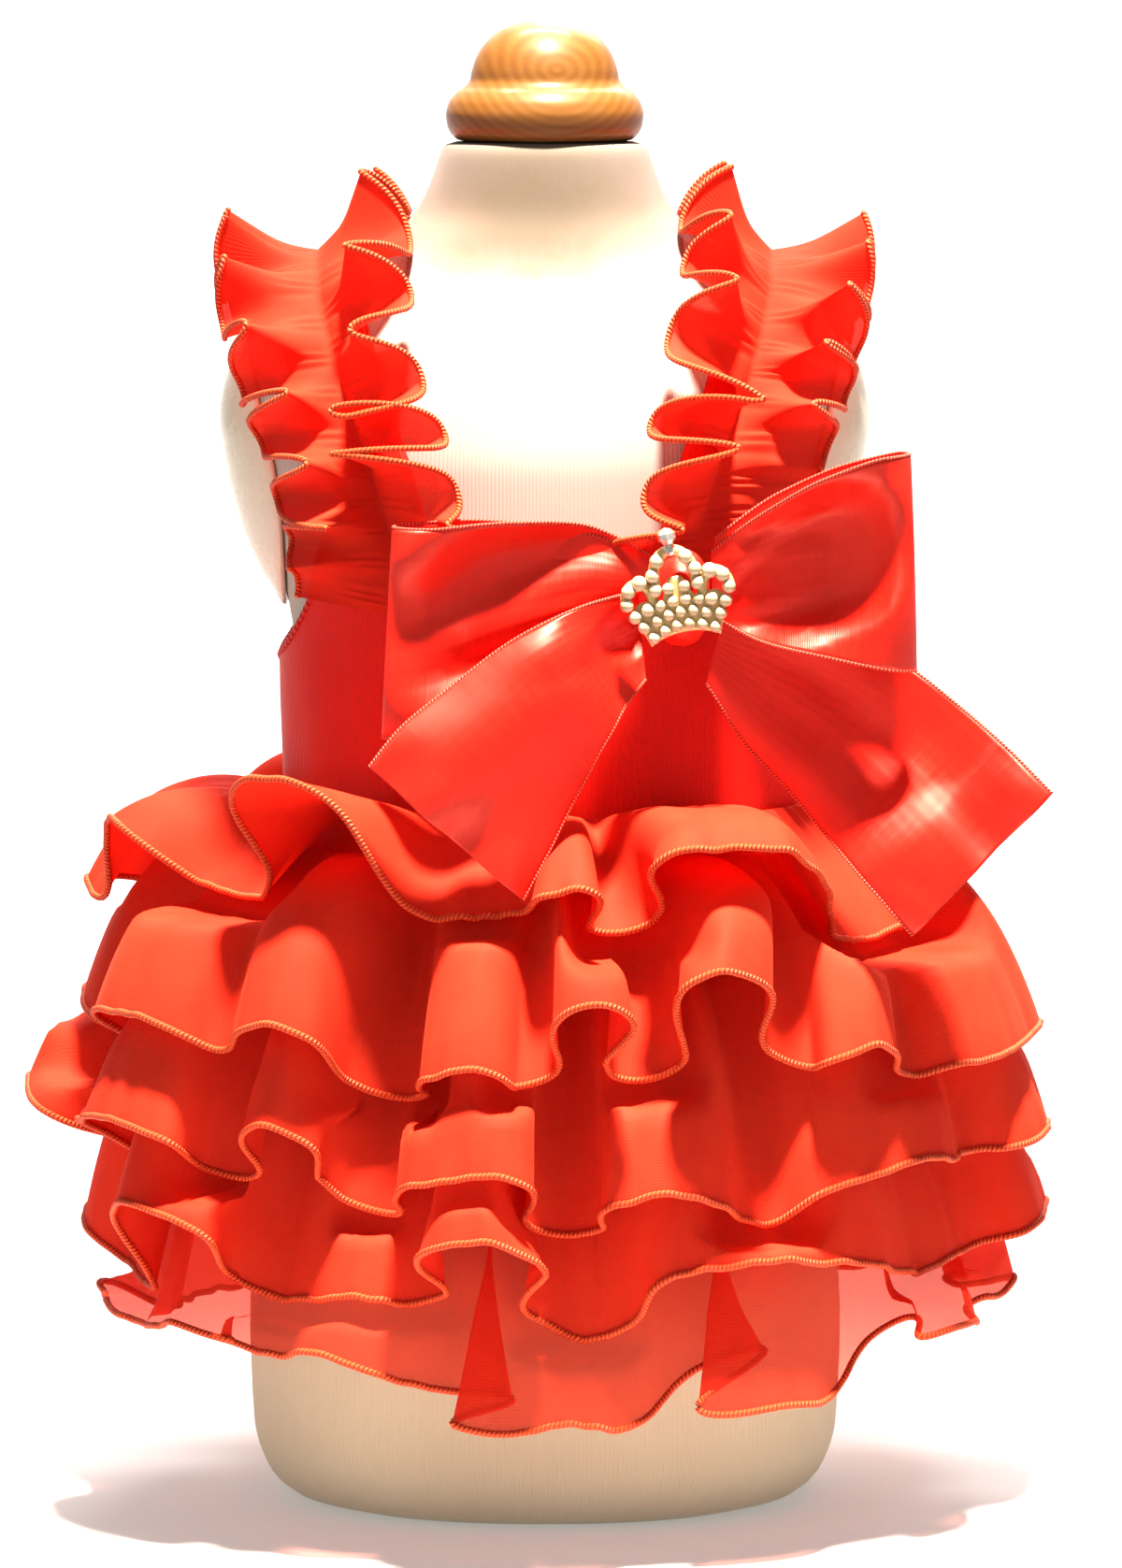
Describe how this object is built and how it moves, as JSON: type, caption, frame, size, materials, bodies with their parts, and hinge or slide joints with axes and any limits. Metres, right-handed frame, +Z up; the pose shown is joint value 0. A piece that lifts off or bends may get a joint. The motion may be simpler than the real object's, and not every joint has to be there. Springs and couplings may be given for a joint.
{
  "type": "dog dress on a dress form",
  "caption": "Red dog dress with ruffled shoulder straps, a gathered tiered skirt and a satin bow with a crown brooch, on a limbless jersey-covered dress form with a wooden knob.",
  "frame": {"origin": "middle of the dress form's flat base", "axes": "+X to the right as the front is seen, -Y out of the dress's front, +Z up"},
  "size_m": [0.2561, 0.2229, 0.3665],
  "materials": {
    "chiffon": "sheer, soft sheen",
    "satin_knit": "soft sheen",
    "satin_ribbon": "satin",
    "jersey": "matt",
    "pearl_plastic": "pearly gloss",
    "lacquered_wood": "clear lacquer",
    "gold_plate": "plated, bright"
  },
  "bodies": {
    "root": {"dress_form": "jersey", "arm_cap_left": "pearl_plastic", "arm_cap_right": "pearl_plastic", "form_knob": "lacquered_wood", "bodice": "satin_knit", "strap_left": "satin_knit", "strap_right": "satin_knit", "strap_ruffle_left": "chiffon", "strap_ruffle_right": "chiffon", "skirt_tier_1": "chiffon", "skirt_tier_2": "chiffon", "skirt_tier_3": "chiffon", "skirt_tier_4": "chiffon", "skirt_tier_5": "chiffon", "bow_loop_left": "satin_ribbon", "bow_loop_right": "satin_ribbon", "bow_tail_left": "satin_ribbon", "bow_tail_right": "satin_ribbon", "bow_knot": "satin_ribbon", "crown": "gold_plate"}
  },
  "joints": []
}
